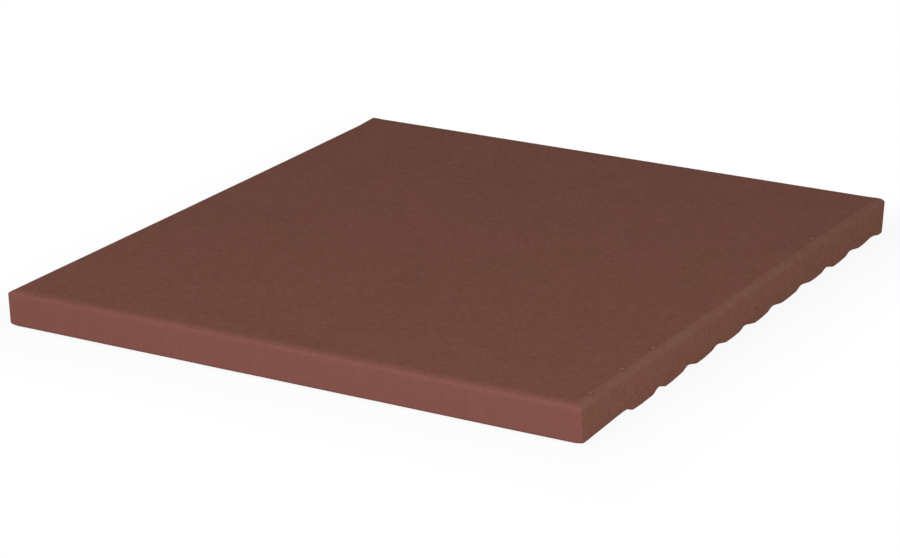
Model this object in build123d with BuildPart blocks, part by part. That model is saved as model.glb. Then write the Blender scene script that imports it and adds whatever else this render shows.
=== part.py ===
"""Extruded clinker floor tile, one fired piece, lying face up on the ribs of its back.

The clay leaves the die along X, so the ribbed section is the same from end to end,
and the two ends are wire cut. The origin is under the tile's centre, on the plane of the ribs.
"""

import os
from math import floor

from build123d import *

# Driving dimensions, in millimetres

# The slab
tile_length = 245.0  # along the extrusion, from cut end to cut end
tile_width = 245.0  # across the extrusion
tile_thickness = 15.0  # from the ribs' lands to the wearing face

# The edges
top_edge_radius = 3.2  # round-over of the wearing face, on all four sides
lower_edge_radius = 1.0  # lower edges of the two extruded sides
near_side_lift = 0.5  # the near side's lower edge stands this far above the ribs' lands

# The back: shallow waves that key into the bedding
margin_width = 32.5  # plain margin, from the near side to the first groove's centre
rib_pitch = 22.5  # from groove to groove
groove_depth = 1.6
groove_floor_width = 2.0
steep_flank_run = 3.0  # where a rib ends and the next groove starts
gentle_flank_run = 5.5  # where a groove runs out into the next rib
land_width = 5.0  # flat of each rib, which the tile lies on
rib_toe_lift = 0.4  # past its land, a rib slopes up by this much to its steep flank
edge_rib_width = 9.5  # least distance from the last groove's centre to the far side
groove_radius = 4.0  # inside corners of a groove
rib_radius = 3.0  # corners of a rib

near_side = -tile_width / 2
far_side = tile_width / 2
groove_count = 1 + floor((tile_width - margin_width - edge_rib_width) / rib_pitch)
groove_centres = [near_side + margin_width + k * rib_pitch for k in range(groove_count)]

# Corners of the back's outline, from the near side to the far side
near_lower_edge = (near_side, near_side_lift)
far_lower_edge = (far_side, 0)
groove_corners = []
rib_corners = []
back_outline = [near_lower_edge]
for centre in groove_centres:
    toe = (centre - groove_floor_width / 2 - steep_flank_run, rib_toe_lift)
    floor_start = (centre - groove_floor_width / 2, groove_depth)
    floor_end = (centre + groove_floor_width / 2, groove_depth)
    heel = (floor_end[0] + gentle_flank_run, 0)
    land_end = (heel[0] + land_width, 0)
    if centre != groove_centres[0]:  # the plain margin runs straight up into the first groove
        rib_corners.append(toe)
        back_outline.append(toe)
    groove_corners += [floor_start, floor_end]
    rib_corners.append(heel)
    back_outline += [floor_start, floor_end, heel]
    if centre != groove_centres[-1]:  # the narrow edge rib is flat to the far side
        back_outline.append(land_end)
back_outline.append(far_lower_edge)


def vertices_at(sketch, places):
    """Returns the sketch's vertices that stand at the given places."""
    return [sketch.vertices().sort_by_distance(place)[0] for place in places]


with BuildPart() as clinker_tile:
    # The die's section: a plain face above, the waved back below
    with BuildSketch(Plane.YZ.offset(-tile_length / 2)) as section:
        with BuildLine():
            top_corners = [(far_side, tile_thickness), (near_side, tile_thickness)]
            Polyline(*back_outline, *top_corners, close=True)
        make_face()
        fillet(vertices_at(section, groove_corners), groove_radius)
        fillet(vertices_at(section, rib_corners), rib_radius)
        fillet(vertices_at(section, [near_lower_edge, far_lower_edge]), lower_edge_radius)
    extrude(amount=tile_length)

    # The soft rim of the wearing face, on the extruded sides and the cut ends alike
    wearing_face = clinker_tile.faces().sort_by(Axis.Z)[-1]
    fillet(wearing_face.edges(), top_edge_radius)

clinker_tile.part.label = "clinker_tile"

os.makedirs("parts", exist_ok=True)
export_step(clinker_tile.part, "parts/clinker_tile.step")
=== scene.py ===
"""Looks of a clinker floor tile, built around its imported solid.

The tile is one fired piece. Its clay shows four finishes: the smooth wearing face, the two
extruded sides, the two wire-cut ends and the ribbed back. All lengths are in metres.
"""

import logging
import math
from dataclasses import dataclass
from enum import Enum
from typing import Union

import bmesh
import bpy
import numpy as np
from mathutils import Matrix, Vector, noise


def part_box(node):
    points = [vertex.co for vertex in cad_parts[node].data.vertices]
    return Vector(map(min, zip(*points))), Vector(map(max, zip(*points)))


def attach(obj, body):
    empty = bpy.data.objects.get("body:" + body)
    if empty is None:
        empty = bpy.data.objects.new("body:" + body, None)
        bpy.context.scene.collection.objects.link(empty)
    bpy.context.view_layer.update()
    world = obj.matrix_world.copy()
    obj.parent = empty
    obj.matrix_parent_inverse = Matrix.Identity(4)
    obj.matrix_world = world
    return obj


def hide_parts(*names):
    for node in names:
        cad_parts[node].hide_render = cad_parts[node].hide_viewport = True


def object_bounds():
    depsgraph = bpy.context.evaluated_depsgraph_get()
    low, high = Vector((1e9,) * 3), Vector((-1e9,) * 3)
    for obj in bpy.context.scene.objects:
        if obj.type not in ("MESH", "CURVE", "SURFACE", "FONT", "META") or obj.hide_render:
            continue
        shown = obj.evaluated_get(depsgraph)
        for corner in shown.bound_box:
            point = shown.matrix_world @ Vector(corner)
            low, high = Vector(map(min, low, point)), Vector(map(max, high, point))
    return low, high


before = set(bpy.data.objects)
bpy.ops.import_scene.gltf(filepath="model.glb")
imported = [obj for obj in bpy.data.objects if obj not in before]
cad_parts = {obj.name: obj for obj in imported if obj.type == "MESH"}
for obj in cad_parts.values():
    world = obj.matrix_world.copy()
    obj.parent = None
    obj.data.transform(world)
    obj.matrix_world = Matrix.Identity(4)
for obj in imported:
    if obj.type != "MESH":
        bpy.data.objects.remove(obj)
CAD_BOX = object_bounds()

NODE = "clinker_tile"
BODY = "root"
# vertex layer: how much painted sheen each vertex of a rim takes
RIM_SHEEN_ATTRIBUTE = "rim"
# vertex layer: painted shade in the pores and round the crumbs
HOLLOW_SHADE_ATTRIBUTE = "hollow"
WHITE = (1.0, 1.0, 1.0, 1.0)

# Kinds of sockets that a shader group has
FLOAT = "NodeSocketFloat"
VECTOR = "NodeSocketVector"
COLOUR = "NodeSocketColor"

Colour = tuple[float, float, float]
Socket = bpy.types.NodeSocket
Source = Union[Socket, float, tuple[float, ...]]
Inputs = dict[Union[str, int], Source]

log = logging.getLogger("clinker_tile_looks")


class Surface(Enum):
    """The tile's surfaces. Each value is the material slot that the surface wears."""

    WEARING_FACE = 0
    SIDE = 1
    CUT_END = 2
    BACK = 3


def direction(azimuth: float, elevation: float) -> Vector:
    """Returns the unit vector from the tile towards a viewpoint or a lamp.

    Args:
        azimuth: degrees round the tile, 0 in front of the near side and 90 before the +X end.
        elevation: degrees above the floor.

    Returns:
        The direction, in the tile's frame.
    """
    turn = math.radians(azimuth)
    rise = math.radians(elevation)
    flat = math.cos(rise)
    return Vector((math.sin(turn) * flat, -math.cos(turn) * flat, math.sin(rise)))


def closeness(distance: np.ndarray, reach: float) -> np.ndarray:
    """Returns 1 at no distance, going down evenly to 0 at the reach and beyond it."""
    return np.clip(1.0 - distance / reach, 0.0, 1.0)


class NodeBoard:
    """Lays shader nodes into one tree and joins them."""

    column_width = 220.0  # from node to node, in the node editor's units

    def __init__(self, tree: bpy.types.NodeTree) -> None:
        """Starts on a tree that may hold nodes already."""
        self.tree = tree

    def put(self, kind: str, inputs: Inputs | None = None, **settings: object) -> bpy.types.Node:
        """Adds one node.

        Args:
            kind: the node's Blender type.
            inputs: values or sockets for its inputs, by name or place.
            **settings: properties of the node itself.

        Returns:
            The new node.
        """
        node = self.tree.nodes.new(kind)
        node.location.x = self.column_width * len(self.tree.nodes)
        for name, value in settings.items():
            setattr(node, name, value)
        for key, value in (inputs or {}).items():
            self.feed(node.inputs[key], value)
        return node

    def feed(self, socket: Socket, value: Source) -> None:
        """Links a socket to another, or sets its own value.

        Args:
            socket: the input to feed.
            value: a socket to link from, or a plain value.
        """
        if isinstance(value, Socket):
            self.tree.links.new(value, socket)
        else:
            socket.default_value = value

    def group(self, tree: bpy.types.NodeTree, inputs: Inputs) -> bpy.types.Node:
        """Returns a new node of a shader group."""
        return self.put("ShaderNodeGroup", inputs, node_tree=tree)

    def math(self, operation: str, first: Source, second: Source) -> Socket:
        """Returns the result of a Math node on two values."""
        return self.put("ShaderNodeMath", {0: first, 1: second}, operation=operation).outputs[0]

    def mix(self, share: Source, first: Source, second: Source) -> Socket:
        """Returns a colour that goes from the first to the second with the share."""
        node = self.put("ShaderNodeMix", {0: share, 6: first, 7: second}, data_type="RGBA")
        return node.outputs[2]

    def clouds(self, place: Source, scale: Source, detail: float, roughness: float) -> Socket:
        """Returns soft noise about one half, with the scale in patches to the metre."""
        inputs = {"Vector": place, "Scale": scale, "Detail": detail, "Roughness": roughness}
        return self.put("ShaderNodeTexNoise", inputs).outputs["Fac"]

    def ramp(
        self, value: Source, low: Source, high: Source, start: float = 0.0, end: float = 1.0
    ) -> Socket:
        """Returns a value eased from start to end while the given one goes from low to high."""
        inputs = {"Value": value, "From Min": low, "From Max": high, "To Min": start, "To Max": end}
        return self.put("ShaderNodeMapRange", inputs, interpolation_type="SMOOTHSTEP").outputs["Result"]


class ClayGroups:
    """The shader groups that the clay's finishes share, each built once."""

    # Noises, as (octaves, how strongly the finer octaves count)
    flash_noise = (3.0, 0.55)
    blush_noise = (4.0, 0.6)
    grain_noise = (2.0, 0.5)
    drag_noise = (3.0, 0.6)
    sheen_noise = (3.0, 0.6)
    noise_middle = 0.5

    # Values of a noise, from where its effect starts to where it is whole
    flash_range = (0.35, 0.7)
    blush_range = (0.4, 0.7)
    sheen_range = (0.3, 0.65)

    blush_offset = (3.7, 1.9, 5.3)  # sets the redder patches apart from the browner ones
    coarse_scale = 0.4  # of the coarser grain, as a share of the finer grain's
    smallest_pinhole = 0.4  # and the largest is this plus 1, as shares of the pinholes' reach
    pinhole_core = 0.4  # share of a pinhole's radius that is wholly dark
    # patches of the painted sheen on the rims
    sheen_patches = 160.0  # to the metre
    least_sheen = 0.35  # share of the painted sheen between its patches

    def __init__(self) -> None:
        """Builds every group."""
        self.mottle = self._mottle()
        self.grain = self._grain()
        self.pores = self._pores()
        self.drag = self._drag()
        self.rim_sheen = self._rim_sheen()

    def _start(
        self, name: str, inputs: dict[str, str], outputs: dict[str, str]
    ) -> tuple[NodeBoard, bpy.types.Node, bpy.types.Node]:
        """Starts a group.

        Args:
            name: the group's name.
            inputs: socket types by the input's name.
            outputs: socket types by the output's name.

        Returns:
            The board of its tree, its input node and its output node.
        """
        tree = bpy.data.node_groups.new(name, "ShaderNodeTree")
        for socket_name, kind in inputs.items():
            tree.interface.new_socket(socket_name, in_out="INPUT", socket_type=kind)
        for socket_name, kind in outputs.items():
            tree.interface.new_socket(socket_name, in_out="OUTPUT", socket_type=kind)
        board = NodeBoard(tree)
        return board, board.put("NodeGroupInput"), board.put("NodeGroupOutput")

    def _mottle(self) -> bpy.types.NodeTree:
        """Clouds the clay with browner and redder patches from the kiln.

        Returns:
            The group's tree.
        """
        inputs = {
            "Vector": VECTOR,
            "Body": COLOUR,
            "Flash": COLOUR,
            "Blush": COLOUR,
            "Patch Size": FLOAT,
            "Amount": FLOAT,
        }
        board, given, result = self._start("kiln_mottle", inputs, {"Color": COLOUR})
        place = given.outputs["Vector"]
        scale = board.math("DIVIDE", 1.0, given.outputs["Patch Size"])
        aside = board.put("ShaderNodeVectorMath", {0: place, 1: self.blush_offset}, operation="ADD")
        flash = board.ramp(board.clouds(place, scale, *self.flash_noise), *self.flash_range)
        blush = board.ramp(board.clouds(aside.outputs[0], scale, *self.blush_noise), *self.blush_range)
        flash_share = board.math("MULTIPLY", flash, given.outputs["Amount"])
        flashed = board.mix(flash_share, given.outputs["Body"], given.outputs["Flash"])
        blush_share = board.math("MULTIPLY", blush, given.outputs["Amount"])
        blushed = board.mix(blush_share, flashed, given.outputs["Blush"])
        board.feed(result.inputs["Color"], blushed)
        return board.tree

    def _grain(self) -> bpy.types.NodeTree:
        """Gives the clay its fine grain, in colour and height.

        Returns:
            The group's tree.
        """
        inputs = {"Vector": VECTOR, "Color": COLOUR, "Grain Size": FLOAT, "Contrast": FLOAT}
        outputs = {"Color": COLOUR, "Height": FLOAT}
        board, given, result = self._start("clay_grain", inputs, outputs)
        place = given.outputs["Vector"]
        fine_scale = board.math("DIVIDE", 1.0, given.outputs["Grain Size"])
        coarse_scale = board.math("MULTIPLY", fine_scale, self.coarse_scale)
        fine = board.clouds(place, fine_scale, *self.grain_noise)
        coarse = board.clouds(place, coarse_scale, *self.grain_noise)
        grain = board.math("MULTIPLY", board.math("ADD", fine, coarse), 0.5)  # the mean of the two
        apart = board.math("SUBTRACT", grain, self.noise_middle)
        swing = board.math("MULTIPLY", apart, given.outputs["Contrast"])
        shade = {"Value": board.math("ADD", swing, 1.0), "Color": given.outputs["Color"]}
        board.feed(result.inputs["Color"], board.put("ShaderNodeHueSaturation", shade).outputs["Color"])
        board.feed(result.inputs["Height"], grain)
        return board.tree

    def _pores(self) -> bpy.types.NodeTree:
        """Marks pinholes that are too fine for the mesh.

        Returns:
            The group's tree.
        """
        inputs = {"Vector": VECTOR, "Spacing": FLOAT, "Reach": FLOAT, "Share": FLOAT}
        board, given, result = self._start("pinholes", inputs, {"Mask": FLOAT})
        scale = board.math("DIVIDE", 1.0, given.outputs["Spacing"])
        cells = board.put("ShaderNodeTexVoronoi", {"Vector": given.outputs["Vector"], "Scale": scale})
        chance = board.put("ShaderNodeSeparateColor", {"Color": cells.outputs["Color"]})
        chosen = board.math("LESS_THAN", chance.outputs["Red"], given.outputs["Share"])
        size = board.math("ADD", chance.outputs["Green"], self.smallest_pinhole)
        reach = board.math("MULTIPLY", given.outputs["Reach"], size)
        core = board.math("MULTIPLY", reach, self.pinhole_core)
        hole = board.ramp(cells.outputs["Distance"], core, reach, 1.0, 0.0)
        board.feed(result.inputs["Mask"], board.math("MULTIPLY", hole, chosen))
        return board.tree

    def _drag(self) -> bpy.types.NodeTree:
        """Draws the lines that the die or the wire drags through wet clay.

        Returns:
            The group's tree.
        """
        inputs = {"Vector": VECTOR, "Lines": VECTOR}
        board, given, result = self._start("drag_lines", inputs, {"Height": FLOAT})
        factors = {0: given.outputs["Vector"], 1: given.outputs["Lines"]}
        stretched = board.put("ShaderNodeVectorMath", factors, operation="MULTIPLY")
        lines = board.clouds(stretched.outputs[0], 1.0, *self.drag_noise)
        board.feed(result.inputs["Height"], lines)
        return board.tree

    def _rim_sheen(self) -> bpy.types.NodeTree:
        """Lightens the rims with a painted sheen, stronger in some patches than in others.

        Returns:
            The group's tree.
        """
        inputs = {"Vector": VECTOR, "Color": COLOUR, "Sheen Color": COLOUR, "Rim": FLOAT, "Amount": FLOAT}
        board, given, result = self._start("painted_rim_sheen", inputs, {"Color": COLOUR})
        clouds = board.clouds(given.outputs["Vector"], self.sheen_patches, *self.sheen_noise)
        patches = board.ramp(clouds, *self.sheen_range, self.least_sheen, 1.0)
        on_rim = board.math("MULTIPLY", patches, given.outputs["Rim"])
        mask = board.math("MULTIPLY", on_rim, given.outputs["Amount"])
        with_sheen = board.mix(mask, given.outputs["Color"], given.outputs["Sheen Color"])
        board.feed(result.inputs["Color"], with_sheen)
        return board.tree


@dataclass(frozen=True)
class ClayFinish:
    """How the fired clay looks on one of the tile's surfaces."""

    name: str
    body: Colour
    flash: Colour  # of the browner patches
    blush: Colour  # of the redder patches
    drag_lines: tuple[float, float, float]  # lines to the metre, along X, Y and Z
    drag_height: float
    patch_size: float = 0.03
    mottle: float = 0.6  # how strongly the patches show
    grain_size: float = 0.0008
    grain_contrast: float = 0.33
    grain_height: float = 0.00003
    grain_span: tuple[float, float] = (0.35, 0.65)  # values of the grain from its roughest to its smoothest
    pinhole_spacing: float = 0.004
    pinhole_reach: float = 0.1  # radius of a pinhole, as a share of the spacing
    pinhole_share: float = 0.15  # how many of the places have one
    pinhole_depth: float = 0.0001
    # painted shade in the pinholes, and the colour of all painted shade in pores and round crumbs
    pinhole_shade: float = 0.8
    painted_shade_tint: Colour = (0.055, 0.022, 0.017)
    # colour and strength of the painted sheen on the rims
    sheen_tint: Colour = (0.30, 0.16, 0.13)
    sheen_amount: float = 0.03
    smoothest: float = 0.66
    roughest: float = 0.84
    shine: float = 0.06

    def material(self, groups: ClayGroups) -> bpy.types.Material:
        """Builds the finish's material.

        Args:
            groups: the shader groups that the finishes share.

        Returns:
            A node material named after the finish.
        """
        material = bpy.data.materials.new(self.name)
        material.use_nodes = True
        material.diffuse_color = (*self.body, 1.0)
        material.node_tree.nodes.clear()
        board = NodeBoard(material.node_tree)
        place = board.put("ShaderNodeTexCoord").outputs["Object"]
        # the rims' painted sheen and the painted shade in the hollows, as the mesh carries them
        rim = board.put("ShaderNodeAttribute", attribute_name=RIM_SHEEN_ATTRIBUTE).outputs["Fac"]
        hollow = board.put("ShaderNodeAttribute", attribute_name=HOLLOW_SHADE_ATTRIBUTE).outputs["Fac"]
        mottle = board.group(groups.mottle, {
            "Vector": place,
            "Body": (*self.body, 1.0),
            "Flash": (*self.flash, 1.0),
            "Blush": (*self.blush, 1.0),
            "Patch Size": self.patch_size,
            "Amount": self.mottle,
        })
        grain = board.group(groups.grain, {
            "Vector": place,
            "Color": mottle.outputs["Color"],
            "Grain Size": self.grain_size,
            "Contrast": self.grain_contrast,
        })
        # painted sheen on the rims, mixed in by the rim layer
        rim_sheen = board.group(groups.rim_sheen, {
            "Vector": place,
            "Color": grain.outputs["Color"],
            "Sheen Color": (*self.sheen_tint, 1.0),
            "Rim": rim,
            "Amount": self.sheen_amount,
        })
        pores = board.group(groups.pores, {
            "Vector": place,
            "Spacing": self.pinhole_spacing,
            "Reach": self.pinhole_reach,
            "Share": self.pinhole_share,
        })
        drag = board.group(groups.drag, {"Vector": place, "Lines": self.drag_lines})
        # Painted shade: the pinholes, the pores and the crumbs' lips are darkened towards the shade tint
        pinholes = board.math("MULTIPLY", pores.outputs["Mask"], self.pinhole_shade)
        painted_shade = board.math("MAXIMUM", pinholes, hollow)
        colour = board.mix(painted_shade, rim_sheen.outputs["Color"], (*self.painted_shade_tint, 1.0))
        grains = board.math("MULTIPLY", grain.outputs["Height"], self.grain_height)
        lines = board.math("MULTIPLY", drag.outputs["Height"], self.drag_height)
        relief = board.math("ADD", grains, lines)
        pits = board.math("MULTIPLY", pores.outputs["Mask"], self.pinhole_depth)
        height = board.math("SUBTRACT", relief, pits)
        bump = board.put("ShaderNodeBump", {"Height": height, "Distance": 1.0, "Strength": 1.0})
        roughness = board.ramp(grain.outputs["Height"], *self.grain_span, self.roughest, self.smoothest)
        shader = board.put("ShaderNodeBsdfPrincipled", {
            "Base Color": colour,
            "Roughness": roughness,
            "Normal": bump.outputs["Normal"],
            "Specular IOR Level": self.shine,
        })
        board.put("ShaderNodeOutputMaterial", {"Surface": shader.outputs["BSDF"]})
        return material


FINISHES = {
    Surface.WEARING_FACE: ClayFinish(
        name="wearing_face_clay",
        body=(0.151, 0.0577, 0.0412),
        flash=(0.141, 0.0556, 0.0380),
        blush=(0.159, 0.0587, 0.0437),
        drag_lines=(8.0, 500.0, 500.0),
        drag_height=0.00001,
    ),
    Surface.SIDE: ClayFinish(
        name="extruded_side_clay",
        body=(0.165, 0.0617, 0.0493),
        flash=(0.159, 0.0600, 0.0466),
        blush=(0.172, 0.0628, 0.0515),
        drag_lines=(10.0, 600.0, 600.0),
        drag_height=0.00002,
    ),
    Surface.CUT_END: ClayFinish(
        name="cut_end_clay",
        body=(0.157, 0.0635, 0.0425),
        flash=(0.148, 0.0630, 0.0390),
        blush=(0.162, 0.0615, 0.0445),
        drag_lines=(500.0, 300.0, 220.0),
        drag_height=0.00002,
        mottle=0.8,
        # a paler, stronger painted sheen on the wiped rims of the cut ends
        sheen_tint=(0.225, 0.15, 0.13),
        sheen_amount=0.15,
        grain_contrast=0.5,
        grain_height=0.00005,
        pinhole_share=0.3,
        roughest=0.85,
    ),
    Surface.BACK: ClayFinish(
        name="ribbed_back_clay",
        body=(0.152, 0.0605, 0.0420),
        flash=(0.138, 0.0565, 0.0375),
        blush=(0.162, 0.0620, 0.0450),
        drag_lines=(12.0, 350.0, 350.0),
        drag_height=0.00006,
        grain_contrast=0.5,
        grain_height=0.00006,
        pinhole_share=0.3,
        roughest=0.88,
    ),
}


@dataclass(frozen=True)
class Relief:
    """Unevenness that extruding, cutting and firing leave on one surface."""

    facing: Vector
    height: float
    wave: tuple[float, float, float]  # length of a wave along X, Y and Z

    faded_at = 0.5  # cosine of the turn at which the relief has faded out

    def at(self, place: Vector, normal: Vector) -> float:
        """Returns how far the surface stands out at a place with that normal.

        Args:
            place: a point of the surface.
            normal: the surface's normal there.

        Returns:
            The height, which fades out where the surface turns away from its facing.
        """
        share = max(0.0, normal.dot(self.facing) - self.faded_at) / (1.0 - self.faded_at)
        if share == 0.0:
            return 0.0
        return self.height * share * noise.noise(Vector((p / w for p, w in zip(place, self.wave))))


@dataclass(frozen=True)
class Blemish:
    """A round hollow or a raised crumb of clay."""

    half_length: float
    half_width: float
    depth: float  # below the surface, so a raised crumb has it negative
    middle_shade: float = 0.0  # painted shade of its middle
    painted_sheen: float = 0.0  # painted highlight of its middle, by the measure of the rims' painted sheen
    lip_shade: float = 0.0  # painted shade round its edge

    lip_most = 0.86  # the lip stays inside the cells that it replaces
    lip_unevenness = 0.16  # of the lip's radius
    lip_lobes = 900.0  # to the metre
    bowl_radius = 0.55  # as a share of the lip's
    bowl_depth = 0.85  # as a share of the middle's

    def stamp(
        self, bm: bmesh.types.BMesh, ring: list[bmesh.types.BMVert], along: Vector, outward: Vector
    ) -> None:
        """Fills a hole in the mesh with the blemish.

        Args:
            bm: the mesh.
            ring: the hole's border, in order.
            along: direction of the blemish's length.
            outward: the surface's normal.
        """
        hollow = bm.verts.layers.float[HOLLOW_SHADE_ATTRIBUTE]
        rim = bm.verts.layers.float[RIM_SHEEN_ATTRIBUTE]
        across = outward.cross(along)
        centre = sum((v.co for v in ring), Vector()) / len(ring)
        sunk = outward * self.depth * self.bowl_depth
        lip = []
        bowl = []
        for border in ring:
            offset = border.co - centre
            reach = math.hypot(offset.dot(along) / self.half_length, offset.dot(across) / self.half_width)
            wobble = 1.0 + self.lip_unevenness * noise.noise(border.co * self.lip_lobes)
            share = min(self.lip_most, wobble / reach)
            lip.append(bm.verts.new(centre + offset * share))
            bowl.append(bm.verts.new(centre + offset * share * self.bowl_radius - sunk))
        floor = bm.verts.new(centre - outward * self.depth)
        surface = ring[0].link_faces[0].material_index
        faces = []
        for k in range(len(ring)):
            following = (k + 1) % len(ring)
            faces.append(bm.faces.new((ring[k], ring[following], lip[following], lip[k])))
            faces.append(bm.faces.new((lip[k], lip[following], bowl[following], bowl[k])))
            faces.append(bm.faces.new((bowl[k], bowl[following], floor)))
        for face in faces:
            face.material_index = surface
            face.smooth = True
        # painted shade round the lip and in the middle, and a painted highlight in the middle
        for vertex in lip:
            vertex[hollow] = self.lip_shade
        for vertex in [*bowl, floor]:
            vertex[hollow] = self.middle_shade
            vertex[rim] = self.painted_sheen


@dataclass
class Skin:
    """One side of the tile's lattice, as a place for blemishes."""

    bm: bmesh.types.BMesh
    vertices: list[bmesh.types.BMVert]  # by number
    numbers: np.ndarray  # the side's vertex numbers, by row and column
    along: Vector  # direction of a blemish's length
    outward: Vector

    def __post_init__(self) -> None:
        """Notes where the vertices are, and that none is taken yet."""
        places = [self.vertices[n].co for n in self.numbers.ravel()]
        self.places = np.array(places).reshape(*self.numbers.shape, 3)
        self.taken = np.zeros(self.numbers.shape, bool)

    def reach(self, line: np.ndarray, middle: int, blemish: Blemish) -> int:
        """Counts the cells that a blemish needs on either side of its middle cell.

        Args:
            line: places of the side's vertices along one row or column.
            middle: where the middle cell starts on it.
            blemish: what is to be stamped.

        Returns:
            The count, which is 1 or more.
        """
        step = line[middle + 1] - line[middle]
        lengthwise = abs(step.dot(self.along)) > np.linalg.norm(step) / 2
        half = blemish.half_length if lengthwise else blemish.half_width
        count = 1
        while count < min(middle, len(line) - middle - 2):
            first, last = line[middle - count], line[middle + count + 1]
            if np.linalg.norm(last - first) * blemish.lip_most > 2 * half:
                break
            count += 1
        return count

    def stamp(self, blemish: Blemish, target: Vector) -> None:
        """Cuts a block of cells out of the side and puts a blemish there.

        Where the place is taken, or the blemish would reach the side's outermost lines, nothing is done.

        Args:
            blemish: what to stamp.
            target: where it goes.
        """
        rows, columns = self.numbers.shape
        distance = np.linalg.norm(self.places - np.array(target), axis=2)
        row, column = np.unravel_index(distance.argmin(), distance.shape)
        if row > rows - 3 or column > columns - 3:
            return
        row_reach = self.reach(self.places[:, column], row, blemish)
        column_reach = self.reach(self.places[row], column, blemish)
        a0, a1 = row - row_reach, row + row_reach + 1
        b0, b1 = column - column_reach, column + column_reach + 1
        window = np.s_[a0:a1 + 1, b0:b1 + 1]
        past_edge = min(a0, b0) < 1 or a1 > rows - 2 or b1 > columns - 2
        if past_edge or self.taken[window].any():
            return
        self.taken[window] = True
        block = self.numbers[window]
        ring = [*block[:-1, 0], *block[-1, :-1], *block[:0:-1, -1], *block[0, :0:-1]]
        inside = [self.vertices[n] for n in block[1:-1, 1:-1].ravel()]
        bmesh.ops.delete(self.bm, geom=inside, context="VERTS")
        blemish.stamp(self.bm, [self.vertices[n] for n in ring], self.along, self.outward)


@dataclass(frozen=True)
class Rim:
    """The curve in which the wearing face comes down to one side."""

    reach: float  # in from the side
    drop: float
    power: float = 2.0  # from 1 for a bevel to 2 for a round

    def fall(self, inset: np.ndarray) -> np.ndarray:
        """Returns how far below the face the rim lies at distances in from the side."""
        share = closeness(inset, self.reach)
        return self.drop * (1.0 - (1.0 - share**self.power) ** (1 / self.power))

    def lines(self, steps: int) -> np.ndarray:
        """Returns where grid lines follow the rim, as distances in from the side."""
        turn = np.linspace(np.pi / 2, 0.0, steps + 1)
        return self.reach * (1.0 - np.sin(turn) ** (2 / self.power))


@dataclass(frozen=True)
class Rib:
    """How far one groove of the back, and the rib after it, came out of the die's true section."""

    toe_lift: float  # where the rib before it ends
    groove_shift: float  # towards the far side
    groove_lift: float
    heel_shift: float  # where the rib after it starts
    heel_lift: float


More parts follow.
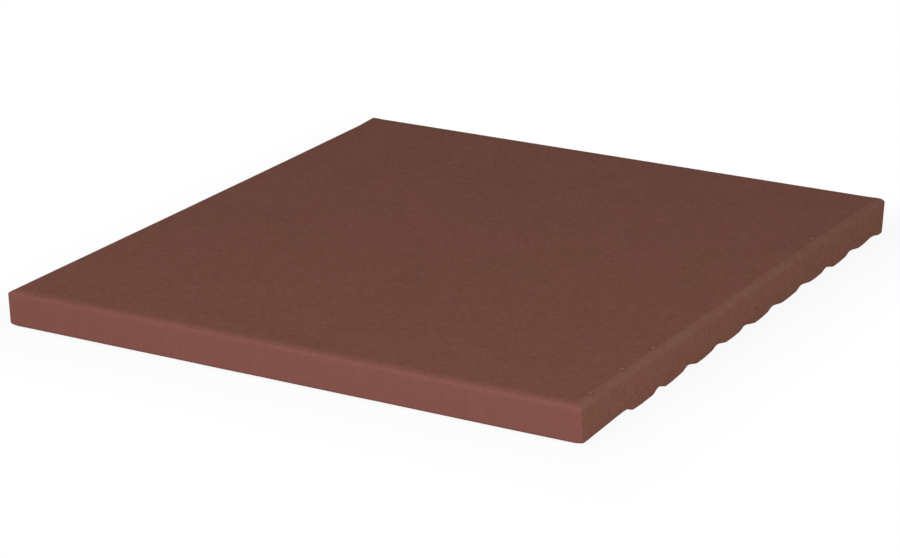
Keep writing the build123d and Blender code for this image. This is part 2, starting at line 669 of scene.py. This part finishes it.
@dataclass
class TileBody:
    """The fired tile: the CAD section with softened corners, uneven skin, pores and torn crumbs."""

    # The mesh
    spacing_along: float = 0.0025
    spacing_across: float = 0.00085
    crowding: float = 0.6  # how much closer the lines across X stand near the cut ends
    rim_steps: int = 8
    side_rows: int = 14
    arris_rows: int = 3
    section_step: float = 0.00025
    crease_angle: float = 38.0  # degrees
    tolerance: float = 0.000001  # for points of the CAD solid that share a plane
    # The rims of the wearing face
    near_rim: Rim = Rim(0.0042, 0.0025)
    far_rim: Rim = Rim(0.002, 0.002)
    end_rim: Rim = Rim(0.0034, 0.0018, 1.2)  # wiped after the cut, nearly to a bevel
    corner_narrowing: float = 0.8  # how much less the cut ends' rims were wiped at the far corners
    narrowing_reach: float = 0.012  # in from the far side
    mitre_softness: float = 0.0004  # where the rims of two sides meet
    end_burr: float = 0.00012  # how far the wire lifted the face beside the cut ends
    burr_reach: float = 0.008  # in from the end
    wiped_tilt: float = 0.25  # part of the normal along X from which a rim has the cut end's finish
    sheen_tilt: float = 25.0  # degrees at which a rim takes its painted sheen in full
    sheen_rise: float = 0.5  # upward part of the normal from which the painted sheen shows in full
    # The corners and lower edges
    corner_softness: float = 0.0006  # radius of the upright corners
    lower_arris: float = 0.0005  # radius of the cut ends' lower edges
    corner_wear: float = 0.0006  # how far the near side's lower corners are blunted
    wear_reach: float = 0.003  # round each corner
    # What cutting, drying and firing did to the shape
    cut_skew: float = 0.0009  # how far the -X end is cut out of square, at its corners
    far_lean: float = 0.0025  # how far the far side's foot stands back
    lean_reach: float = 0.008  # in from the far side
    far_sag: float = 0.00027  # how far the far side's rim sank in the kiln
    far_twist: float = 0.00083  # how much more it sank at the +X end, and less at the other
    sag_power: int = 3  # how late the sinking sets in, from the near side
    # The waves of the skin
    reliefs: tuple[Relief, ...] = (
        Relief(Vector((0, 0, 1)), 0.00004, (0.055, 0.022, 0.05)),
        Relief(Vector((0, -1, 0)), 0.00004, (0.060, 0.02, 0.012)),
        Relief(Vector((0, 1, 0)), 0.00004, (0.060, 0.02, 0.012)),
        Relief(Vector((1, 0, 0)), 0.00006, (0.02, 0.007, 0.008)),
        Relief(Vector((-1, 0, 0)), 0.00006, (0.02, 0.007, 0.008)),
        Relief(Vector((0, 0, -1)), 0.00006, (0.02, 0.006, 0.02)),
    )
    # Larger pores of the +X end, as (from the near side, above the ribs)
    end_pores: tuple[tuple[float, float], ...] = (
        (0.0185, 0.0044), (0.0299, 0.0104), (0.0371, 0.0050), (0.0449, 0.0042), (0.0925, 0.0088),
        (0.1001, 0.0080), (0.1093, 0.0116), (0.1132, 0.0086), (0.1290, 0.0055), (0.1655, 0.0113),
        (0.1970, 0.0116), (0.2166, 0.0045),
    )
    # Crumbs on the +X end's rim, as (from the near side, in from the end)
    rim_crumbs: tuple[tuple[float, float], ...] = (
        (0.0105, 0.0032), (0.0344, 0.0036), (0.0561, 0.0037), (0.1859, 0.0047), (0.1863, 0.0095),
    )
    # the pores' bowls carry painted shade
    pore: Blemish = Blemish(0.00055, 0.00045, 0.0005, middle_shade=0.4)
    # the crumbs carry a painted highlight in the middle and painted shade round the lip
    crumb: Blemish = Blemish(0.0010, 0.0011, -0.0004, painted_sheen=13.0, lip_shade=0.2)
    rim_facing: Vector = Vector((0.3, 0.0, 1.0)).normalized()  # the rim's normal under the crumbs
    # Small pores, strewn over both cut ends, with a little painted shade in them
    small_pore: Blemish = Blemish(0.00034, 0.0003, 0.0003, middle_shade=0.15)
    pore_count: int = 35  # on each end
    pore_seed: int = 7
    pore_start: tuple[float, float] = (-0.97, 0.15)  # across and up an end, as shares
    pore_stop: tuple[float, float] = (0.97, 0.72)
    # The back's ribs, from the near side
    first_groove: float = 0.0325
    rib_pitch: float = 0.0225
    toe_reach: float = 0.004  # from a groove's centre to the rib before it
    heel_reach: float = 0.0065  # from a groove's centre to the rib after it
    ribs: tuple[Rib, ...] = (
        Rib(0.0003, -0.0013, 0.0002, -0.0030, 0.0),
        Rib(-0.0002, -0.0006, 0.0001, -0.0018, 0.0001),
        Rib(0.0005, -0.0010, 0.0004, -0.0005, 0.0003),
        Rib(0.0006, -0.0010, 0.0004, -0.0005, 0.0005),
        Rib(0.0004, -0.0014, 0.0002, 0.0006, 0.0),
        Rib(0.0002, -0.0012, 0.0001, 0.0005, 0.0004),
        Rib(0.0004, 0.0007, 0.0004, 0.0023, 0.0008),
        Rib(0.0006, 0.0006, 0.0004, 0.0008, 0.0002),
        Rib(0.0003, -0.0002, 0.0003, 0.0013, 0.0005),
        Rib(0.0006, -0.0022, -0.0004, -0.0015, 0.0),
    )

    def __post_init__(self) -> None:
        """Reads the tile's sizes and section from the CAD solid."""
        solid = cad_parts[NODE].data
        points = np.empty(len(solid.vertices) * 3, np.float32)
        solid.vertices.foreach_get("co", points)
        points = points.reshape(-1, 3).astype(float)
        _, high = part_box(NODE)
        self.half_length = high.x
        self.half_width = high.y
        self.top = high.z
        end = points[points[:, 0] > high.x - self.tolerance]
        back = end[end[:, 2] < self.top / 2]
        back = back[np.lexsort((back[:, 2], back[:, 1]))]
        across, first = np.unique(back[:, 1].round(6), return_index=True)  # to the micrometre
        self.shift_ribs(across, back[first, 2])

    def shift_ribs(self, across: np.ndarray, height: np.ndarray) -> None:
        """Sets the back's section, with each groove and rib moved to where it came out of the die.

        Args:
            across: places across the CAD section's back, in order.
            height: the back's height there.
        """
        knots = [0.0]
        shifts = [0.0]
        lifts = [0.0]
        for number, rib in enumerate(self.ribs):
            centre = self.first_groove + number * self.rib_pitch
            knots += [centre - self.toe_reach, centre, centre + self.heel_reach]
            shifts += [rib.groove_shift, rib.groove_shift, rib.heel_shift]
            lifts += [rib.toe_lift, rib.groove_lift, rib.heel_lift]
        knots.append(2 * self.half_width)
        shifts.append(0.0)
        lifts.append(0.0)
        place = np.linspace(0.0, 2 * self.half_width, round(2 * self.half_width / self.section_step) + 1)
        true_height = np.interp(place - self.half_width, across, height)
        self.back_across = place - self.half_width + np.interp(place, knots, shifts)
        self.back_height = true_height + np.interp(place, knots, lifts)

    def grid_lines(self, half: float, spacing: float, crowding: float, rims: tuple[Rim, Rim]) -> np.ndarray:
        """Returns grid lines from one side to the other, close together round the rims.

        Args:
            half: half the tile's size in this direction.
            spacing: mean distance of the lines on the flat.
            crowding: share by which the lines close up towards the rims.
            rims: the rims at the lower and the upper end of this direction.

        Returns:
            The lines' places, in order.
        """
        low = -half + rims[0].lines(self.rim_steps)
        high = half - rims[1].lines(self.rim_steps)[::-1]
        even = np.linspace(-1.0, 1.0, 2 * round(half / spacing) + 1)[1:-1]
        spread = (1.0 - crowding) * even + crowding * np.sin(even * np.pi / 2)
        middle = (high[0] + low[-1]) / 2 + (high[0] - low[-1]) / 2 * spread
        return np.concatenate([low, middle, high])

    def side_lines(self) -> np.ndarray:
        """Lays grid lines up the sides, close together at the lower arris.

        Returns:
            The lines' places in order, as shares of the height.
        """
        arris = self.lower_arris / self.top
        turn = np.linspace(0.0, np.pi / 2, self.arris_rows + 1)[:-1]
        return np.concatenate([arris * (1.0 - np.cos(turn)), np.linspace(arris, 1.0, self.side_rows)])

    def lattice(self) -> tuple[np.ndarray, np.ndarray]:
        """Lays a box of grid lines round the tile.

        Returns:
            The vertices, and their numbers by grid line along X, Y and Z, which are -1 inside.
        """
        end_rims = (self.end_rim, self.end_rim)
        side_rims = (self.near_rim, self.far_rim)
        lines_x = self.grid_lines(self.half_length, self.spacing_along, self.crowding, end_rims)
        lines_y = self.grid_lines(self.half_width, self.spacing_across, 0.0, side_rims)
        lines_z = self.side_lines()
        shell = np.ones((len(lines_x), len(lines_y), len(lines_z)), bool)
        shell[1:-1, 1:-1, 1:-1] = False
        numbers = np.full(shell.shape, -1)
        numbers[shell] = np.arange(shell.sum())
        i, j, k = np.nonzero(shell)
        x = lines_x[i]
        y = lines_y[j]
        share = lines_z[k]
        upper = self.face_height(x, y)
        lower = np.interp(y, self.back_across, self.back_height)
        to_corner = np.hypot(self.half_length - np.abs(x), self.half_width + y)
        lower += self.corner_wear * closeness(to_corner, self.wear_reach) ** 2
        z = lower + (upper - lower) * share
        x, y = self.soften_corners(x, y)
        self.warp(x, y, z)
        under = closeness(share, self.lower_arris / self.top)
        x *= 1.0 - self.lower_arris * (1.0 - np.sqrt(1.0 - under**2)) / self.half_length
        return np.stack([x, y, z], axis=1), numbers

    def face_height(self, x: np.ndarray, y: np.ndarray) -> np.ndarray:
        """Returns the height of the wearing face, with its rims and the burr of the cut.

        Args:
            x: places along the tile.
            y: places across it.

        Returns:
            The height at each place.
        """
        to_far = closeness(self.half_width - y, self.narrowing_reach)
        inset = (self.half_length - np.abs(x)) * (1.0 + self.corner_narrowing * to_far)
        over_x = self.top - self.end_rim.fall(inset)
        over_y = self.top - self.near_rim.fall(self.half_width + y) - self.far_rim.fall(self.half_width - y)
        gap = np.clip(self.mitre_softness - np.abs(over_x - over_y), 0.0, None)
        upper = np.minimum(over_x, over_y) - gap**2 / (4 * self.mitre_softness)
        rise = (self.burr_reach - self.half_length + np.abs(x)) / (self.burr_reach - self.end_rim.reach)
        return upper + self.end_burr * np.clip(rise, 0.0, 1.0) ** 2

    def warp(self, x: np.ndarray, y: np.ndarray, z: np.ndarray) -> None:
        """Moves the vertices for the skewed end, and for the lean and the twisted sag of the far side.

        Args:
            x: their places along the tile, changed in place.
            y: their places across it, changed in place.
            z: their heights, changed in place.
        """
        x += self.cut_skew * y / self.half_width * (1.0 - x / self.half_length) / 2
        beside = closeness(self.half_width - y, self.lean_reach)
        below_rim = closeness(z, self.top - self.far_rim.drop)
        y -= self.far_lean * beside * below_rim
        from_near = (1.0 + y / self.half_width) / 2
        sag = (self.far_sag + self.far_twist * x / self.half_length) * from_near**self.sag_power
        z *= 1.0 - sag / self.top

    def soften_corners(self, x: np.ndarray, y: np.ndarray) -> tuple[np.ndarray, np.ndarray]:
        """Rounds the tile's upright corners in plan.

        Args:
            x: places along the tile.
            y: places across it.

        Returns:
            The moved places.
        """
        radius = self.corner_softness
        a = 1.0 - (self.half_length - np.abs(x)) / radius
        b = 1.0 - (self.half_width - np.abs(y)) / radius
        corner = (a > 0.0) & (b > 0.0)
        a = np.where(corner, a, 0.0)
        b = np.where(corner, b, 0.0)
        pull_x = radius * (a - a * np.sqrt(1.0 - b**2 / 2))
        pull_y = radius * (b - b * np.sqrt(1.0 - a**2 / 2))
        return x - np.sign(x) * pull_x, y - np.sign(y) * pull_y

    def quads(self, numbers: np.ndarray, flip: bool) -> np.ndarray:
        """Returns the faces of one side of the lattice.

        Args:
            numbers: the side's vertex numbers, by row and column.
            flip: True if rows, columns and the outside make a left-handed set.

        Returns:
            One row of four vertex numbers for each face.
        """
        corners = [numbers[:-1, :-1], numbers[1:, :-1], numbers[1:, 1:], numbers[:-1, 1:]]
        if flip:
            corners.reverse()
        return np.stack([c.ravel() for c in corners], axis=1)

    def build(self) -> bpy.types.Object:
        """Builds the tile's mesh.

        Returns:
            The tile as a Blender object, not yet dressed.
        """
        places, numbers = self.lattice()
        faces = np.concatenate([
            self.quads(numbers[:, :, -1], False),
            self.quads(numbers[:, :, 0], True),
            self.quads(numbers[-1], False),
            self.quads(numbers[0], True),
            self.quads(numbers[:, 0], False),
            self.quads(numbers[:, -1], True),
        ])
        mesh = bpy.data.meshes.new("clinker_tile_body")
        mesh.from_pydata(places.tolist(), [], faces.tolist())
        bm = bmesh.new()
        bm.from_mesh(mesh)
        self.sort_faces(bm)
        self.roughen(bm)
        self.mark_rims(bm)
        self.blemish(bm, numbers)
        bmesh.ops.recalc_face_normals(bm, faces=bm.faces)
        bm.to_mesh(mesh)
        bm.free()
        mesh.set_sharp_from_angle(angle=math.radians(self.crease_angle))
        tile = bpy.data.objects.new("clinker_tile_body", mesh)
        bpy.context.scene.collection.objects.link(tile)
        return tile

    def sort_faces(self, bm: bmesh.types.BMesh) -> None:
        """Gives each face the surface that it looks out from.

        Args:
            bm: the tile's mesh.
        """
        bm.normal_update()
        for face in bm.faces:
            size = [abs(n) for n in face.normal]
            wiped = size[0] > max(self.wiped_tilt, size[1]) and face.normal.z > 0
            if size[2] == max(size) and not wiped:
                surface = Surface.WEARING_FACE if face.normal.z > 0 else Surface.BACK
            else:
                surface = Surface.CUT_END if size[0] > size[1] else Surface.SIDE
            face.material_index = surface.value
            face.smooth = True

    def roughen(self, bm: bmesh.types.BMesh) -> None:
        """Moves the vertices in and out by the relief of their surfaces.

        Args:
            bm: the tile's mesh.
        """
        moves = [sum(relief.at(v.co, v.normal) for relief in self.reliefs) for v in bm.verts]
        for vertex, move in zip(bm.verts, moves):
            vertex.co += vertex.normal * move
            vertex.co.z = max(0.0, vertex.co.z)  # the floor that the tile lies on
        bm.normal_update()

    def mark_rims(self, bm: bmesh.types.BMesh) -> None:
        """Writes how much painted sheen each vertex takes as a rim, from 0 on the flats to 1 in full.

        The hollows' layer of painted shade is added too, and stays empty until the blemishes are stamped.

        Args:
            bm: the tile's mesh.
        """
        rim = bm.verts.layers.float.new(RIM_SHEEN_ATTRIBUTE)
        bm.verts.layers.float.new(HOLLOW_SHADE_ATTRIBUTE)
        full = 1.0 - math.cos(math.radians(self.sheen_tilt))
        for vertex in bm.verts:
            turned = (1.0 - max(abs(n) for n in vertex.normal)) / full
            upward = min(1.0, max(0.0, vertex.normal.z) / self.sheen_rise)
            vertex[rim] = min(1.0, turned) * upward

    def blemish(self, bm: bmesh.types.BMesh, numbers: np.ndarray) -> None:
        """Stamps the pores of the cut ends and the crumbs of the rim.

        Args:
            bm: the tile's mesh.
            numbers: the lattice's vertex numbers.
        """
        vertices = list(bm.verts)
        across = Vector((0, 1, 0))
        end_x = Vector((1, 0, 0))
        face = Skin(bm, vertices, numbers[:, :, -1], across, self.rim_facing)
        near_end = Skin(bm, vertices, numbers[-1], across, end_x)
        far_end = Skin(bm, vertices, numbers[0], across, -end_x)
        for along, inset in self.rim_crumbs:
            place = Vector((self.half_length - inset, along - self.half_width, self.top))
            face.stamp(self.crumb, place)
        for along, height in self.end_pores:
            place = Vector((self.half_length, along - self.half_width, height))
            near_end.stamp(self.pore, place)
        rng = np.random.default_rng(self.pore_seed)
        for skin in (near_end, far_end):
            end = skin.outward.x * self.half_length
            for along, height in rng.uniform(self.pore_start, self.pore_stop, (self.pore_count, 2)):
                place = Vector((end, along * self.half_width, height * self.top))
                skin.stamp(self.small_pore, place)

    def dress(self, tile: bpy.types.Object, groups: ClayGroups) -> None:
        """Gives each surface of the tile its finish."""
        for surface in Surface:
            tile.data.materials.append(FINISHES[surface].material(groups))

    def make(self, groups: ClayGroups) -> bpy.types.Object:
        """Builds and dresses the tile, and puts it in the CAD solid's place.

        Args:
            groups: the shader groups that the finishes share.

        Returns:
            The finished tile.
        """
        tile = self.build()
        self.dress(tile, groups)
        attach(tile, BODY)
        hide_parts(NODE)
        return tile


@dataclass(frozen=True)
class Softbox:
    """A large soft lamp that faces the tile."""

    name: str
    azimuth: float  # degrees
    elevation: float  # degrees
    distance: float
    width: float
    height: float
    watts: float

    def place(self) -> bpy.types.Object:
        """Hangs the lamp.

        Returns:
            The lamp's object.
        """
        lamp = bpy.data.lights.new(self.name, "AREA")
        lamp.shape = "RECTANGLE"
        lamp.size = self.width
        lamp.size_y = self.height
        lamp.energy = self.watts
        hung = bpy.data.objects.new(self.name, lamp)
        towards = direction(self.azimuth, self.elevation)
        hung.location = towards * self.distance
        hung.rotation_euler = towards.to_track_quat("Z", "Y").to_euler()
        bpy.context.scene.collection.objects.link(hung)
        return hung


@dataclass
class Studio:
    """A white sweep with soft lamps, where only a faint shadow is left round the tile."""

    floor_radius: float = 6.0
    floor_gap: float = 0.0001  # keeps the floor's face apart from the ribs that lie on it
    floor_sides: int = 96
    floor_white: Colour = (0.82, 0.82, 0.82)
    glow: float = 0.9  # how much of the floor beside the tile is plain white to the camera
    shadow_reach: tuple[float, float] = (0.006, 0.05)  # from the tile, while the rest turns white too
    ambient: float = 0.175  # strength of the sky's light
    lamps: tuple[Softbox, ...] = (
        Softbox("key_softbox", 4.0, 20.0, 1.0, 0.9, 0.4, 5.3),
        Softbox("end_softbox", 64.0, 28.0, 1.3, 0.8, 0.4, 9.6),
        Softbox("top_softbox", -35.0, 55.0, 0.9, 0.7, 0.7, 2.43),
    )

    def white_ray(self, board: NodeBoard) -> Socket:
        """Tells apart the rays that should see a white background.

        Args:
            board: the board of the material or the world.

        Returns:
            A socket that is 1 for those rays, and 0 for the others.
        """
        path = board.put("ShaderNodeLightPath")
        mirrored = board.math("MAXIMUM", path.outputs["Is Glossy Ray"], path.outputs["Is Transmission Ray"])
        return board.math("MAXIMUM", path.outputs["Is Camera Ray"], mirrored)

    def floor(self) -> bpy.types.Object:
        """Lays the floor.

        Returns:
            The floor's object.
        """
        mesh = bpy.data.meshes.new("studio_floor")
        bm = bmesh.new()
        bmesh.ops.create_circle(bm, cap_ends=True, segments=self.floor_sides, radius=self.floor_radius)
        bm.to_mesh(mesh)
        bm.free()
        mesh.materials.append(self.floor_paint())
        floor = bpy.data.objects.new("studio_floor", mesh)
        floor.location.z = -self.floor_gap
        bpy.context.scene.collection.objects.link(floor)
        return floor

    def floor_paint(self) -> bpy.types.Material:
        """Mixes the floor's paint.

        Returns:
            A white material that glows to the camera and still takes a shadow.
        """
        paint = bpy.data.materials.new("studio_white")
        paint.use_nodes = True
        paint.node_tree.nodes.clear()
        board = NodeBoard(paint.node_tree)
        matt = board.put("ShaderNodeBsdfDiffuse", {"Color": (*self.floor_white, 1.0)})
        glow = board.put("ShaderNodeEmission", {"Color": WHITE, "Strength": 1.0})
        place = board.put("ShaderNodeTexCoord").outputs["Object"]
        apart = board.put("ShaderNodeVectorMath", {0: place}, operation="ABSOLUTE").outputs[0]
        edge = tuple(CAD_BOX[1])
        beyond = board.put("ShaderNodeVectorMath", {0: apart, 1: edge}, operation="SUBTRACT").outputs[0]
        axes = board.put("ShaderNodeSeparateXYZ", {0: beyond})
        away = board.math("MAXIMUM", axes.outputs["X"], axes.outputs["Y"])
        white = board.ramp(away, *self.shadow_reach, self.glow, 1.0)
        share = board.math("MULTIPLY", self.white_ray(board), white)
        mixed = board.put("ShaderNodeMixShader", {0: share, 1: matt.outputs[0], 2: glow.outputs[0]})
        board.put("ShaderNodeOutputMaterial", {"Surface": mixed.outputs[0]})
        return paint

    def sky(self) -> None:
        """Sets an even ambient light, which the camera sees as plain white."""
        world = bpy.data.worlds.new("studio_sky")
        world.use_nodes = True
        world.node_tree.nodes.clear()
        board = NodeBoard(world.node_tree)
        light = board.put("ShaderNodeBackground", {"Color": WHITE, "Strength": self.ambient})
        white = board.put("ShaderNodeBackground", {"Color": WHITE, "Strength": 1.0})
        share = self.white_ray(board)
        mixed = board.put("ShaderNodeMixShader", {0: share, 1: light.outputs[0], 2: white.outputs[0]})
        board.put("ShaderNodeOutputWorld", {"Surface": mixed.outputs[0]})
        bpy.context.scene.world = world

    def set_up(self) -> None:
        """Builds the whole studio."""
        self.floor()
        self.sky()
        for lamp in self.lamps:
            lamp.place()
            log.info("lamp %s, %.1f W", lamp.name, lamp.watts)
        bpy.context.scene.view_settings.view_transform = "Standard"


@dataclass(frozen=True)
class PhotoCamera:
    """The camera of the reference view, fitted to the tile's edges."""

    azimuth: float = 32.592  # degrees
    elevation: float = 19.973  # degrees
    roll: float = -1.978  # degrees
    distance: float = 1.13265
    target: tuple[float, float, float] = (-0.00325, -0.0035, 0.0)
    focal_pixels: float = 2931.9
    image_width: int = 900  # pixels
    sensor_width: float = 36.0  # millimetres

    def place(self) -> bpy.types.Object:
        """Sets up the camera.

        Returns:
            The camera's object, which is the scene's camera.
        """
        lens = bpy.data.cameras.new("photo_camera")
        lens.sensor_width = self.sensor_width
        lens.lens = self.focal_pixels * self.sensor_width / self.image_width
        camera = bpy.data.objects.new("photo_camera", lens)
        towards = direction(self.azimuth, self.elevation)
        level = towards.to_track_quat("Z", "Y").to_matrix().to_4x4()
        roll = Matrix.Rotation(math.radians(self.roll), 4, "Z")
        place = Matrix.Translation(Vector(self.target) + towards * self.distance)
        camera.matrix_world = place @ level @ roll
        bpy.context.scene.collection.objects.link(camera)
        bpy.context.scene.camera = camera
        return camera


def main() -> None:
    """Builds the tile and its studio."""
    logging.basicConfig(level=logging.INFO, format="%(name)s: %(message)s")
    tile = TileBody().make(ClayGroups())
    log.info("%s: %d vertices, %d faces", tile.name, len(tile.data.vertices), len(tile.data.polygons))
    Studio().set_up()
    camera = PhotoCamera().place()
    log.info("%s: lens %.1f mm", camera.name, camera.data.lens)


if __name__ == "__main__":
    main()
